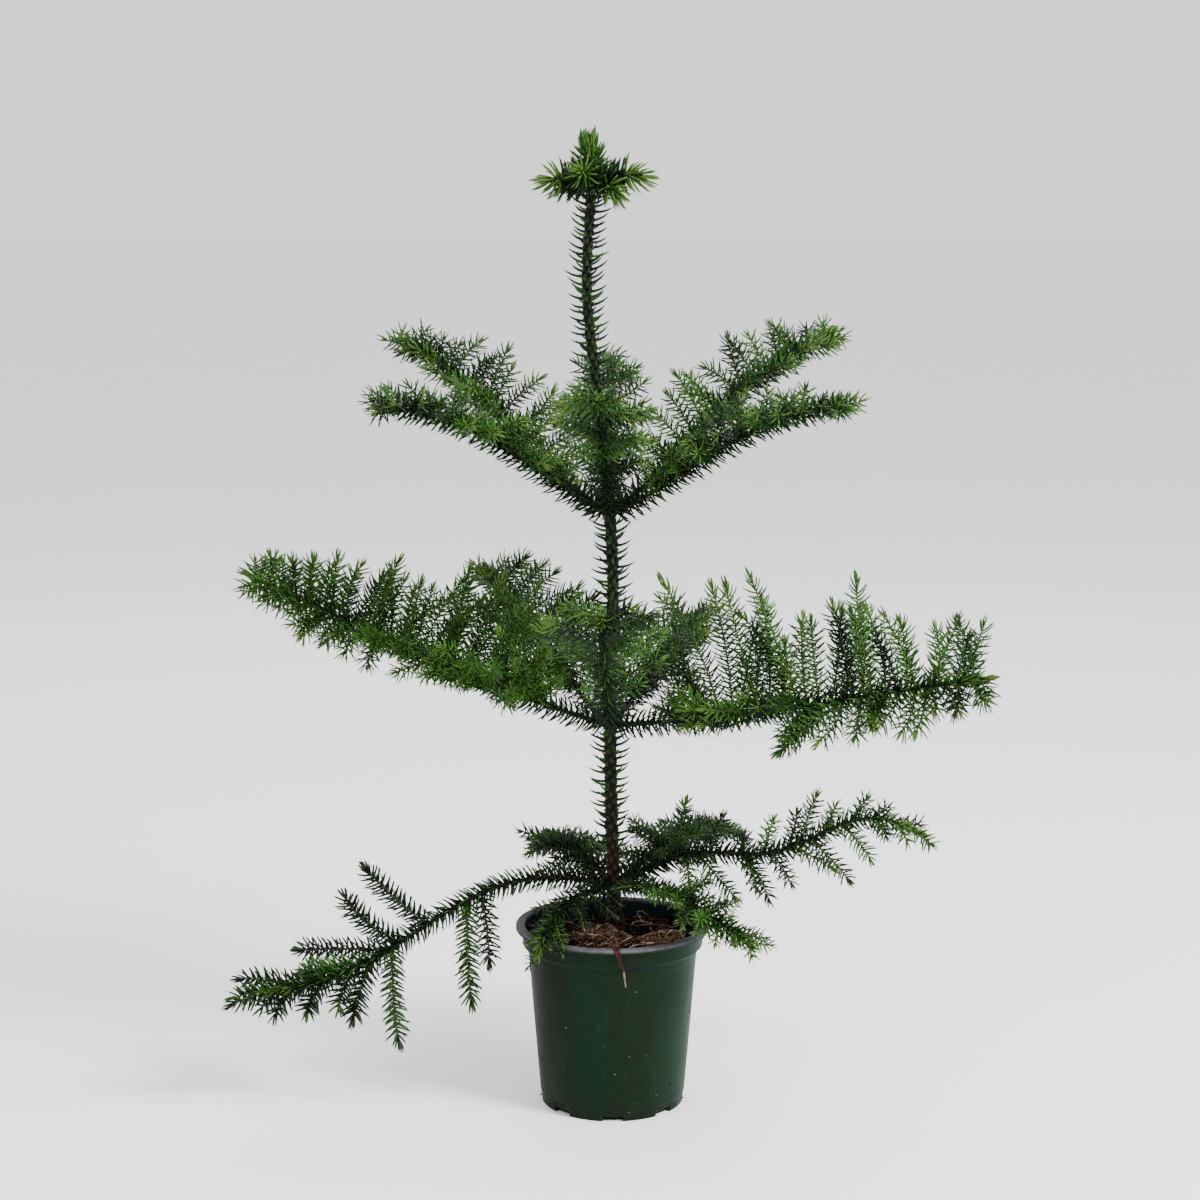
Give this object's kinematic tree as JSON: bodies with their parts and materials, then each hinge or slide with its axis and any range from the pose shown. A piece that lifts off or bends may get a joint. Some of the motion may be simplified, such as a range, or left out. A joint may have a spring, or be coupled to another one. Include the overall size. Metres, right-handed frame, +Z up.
{
  "type": "potted norfolk island pine",
  "caption": "Young norfolk island pine with flat tiers of needled boughs on a slender leaning trunk, growing in a round green nursery pot.",
  "frame": {"origin": "centre of the pot's flat underside, on the surface that it stands on", "axes": "+Z up along the pot's axis, +X the plant's right side and -Y its front, as the picture shows it"},
  "size_m": [0.6402, 0.4811, 0.823],
  "materials": {
    "pot_plastic": "dark green moulded plastic, dusty and lightly scuffed",
    "potting_mix": "dark moist peat with chips and tan fibres",
    "bark": "young bark, brown at the foot and olive green above, with needle bases",
    "green_bark": "green ridged bark of young boughs",
    "needles": "dark green curved needles, satin",
    "fresh_needles": "bright yellow-green new needles, satin"
  },
  "bodies": {
    "root": {"pot": "pot_plastic", "soil": "potting_mix", "trunk": "bark", "lower_left_bough": "green_bark", "lower_left_foliage": "needles", "lower_right_bough": "green_bark", "lower_right_foliage": "needles", "lower_back_right_bough": "green_bark", "lower_back_right_foliage": "needles", "lower_back_left_bough": "green_bark", "lower_back_left_foliage": "needles", "lower_front_left_bough": "green_bark", "lower_front_left_foliage": "needles", "lower_front_right_bough": "green_bark", "lower_front_right_foliage": "needles", "middle_right_bough": "green_bark", "middle_right_foliage": "needles", "middle_back_right_bough": "green_bark", "middle_back_right_foliage": "needles", "middle_back_bough": "green_bark", "middle_back_foliage": "needles", "middle_left_bough": "green_bark", "middle_left_foliage": "needles", "middle_front_bough": "green_bark", "middle_front_foliage": "needles", "upper_right_bough": "green_bark", "upper_right_foliage": "needles", "upper_back_right_bough": "green_bark", "upper_back_right_foliage": "needles", "upper_back_bough": "green_bark", "upper_back_foliage": "needles", "upper_back_left_bough": "green_bark", "upper_back_left_foliage": "needles", "upper_left_bough": "green_bark", "upper_left_foliage": "needles", "upper_front_bough": "green_bark", "upper_front_foliage": "needles", "top_right_shoot": "fresh_needles", "top_back_shoot": "fresh_needles", "top_back_left_shoot": "fresh_needles", "top_left_shoot": "fresh_needles", "top_front_shoot": "fresh_needles", "top_front_right_shoot": "fresh_needles", "leader_tip": "fresh_needles"}
  },
  "joints": []
}
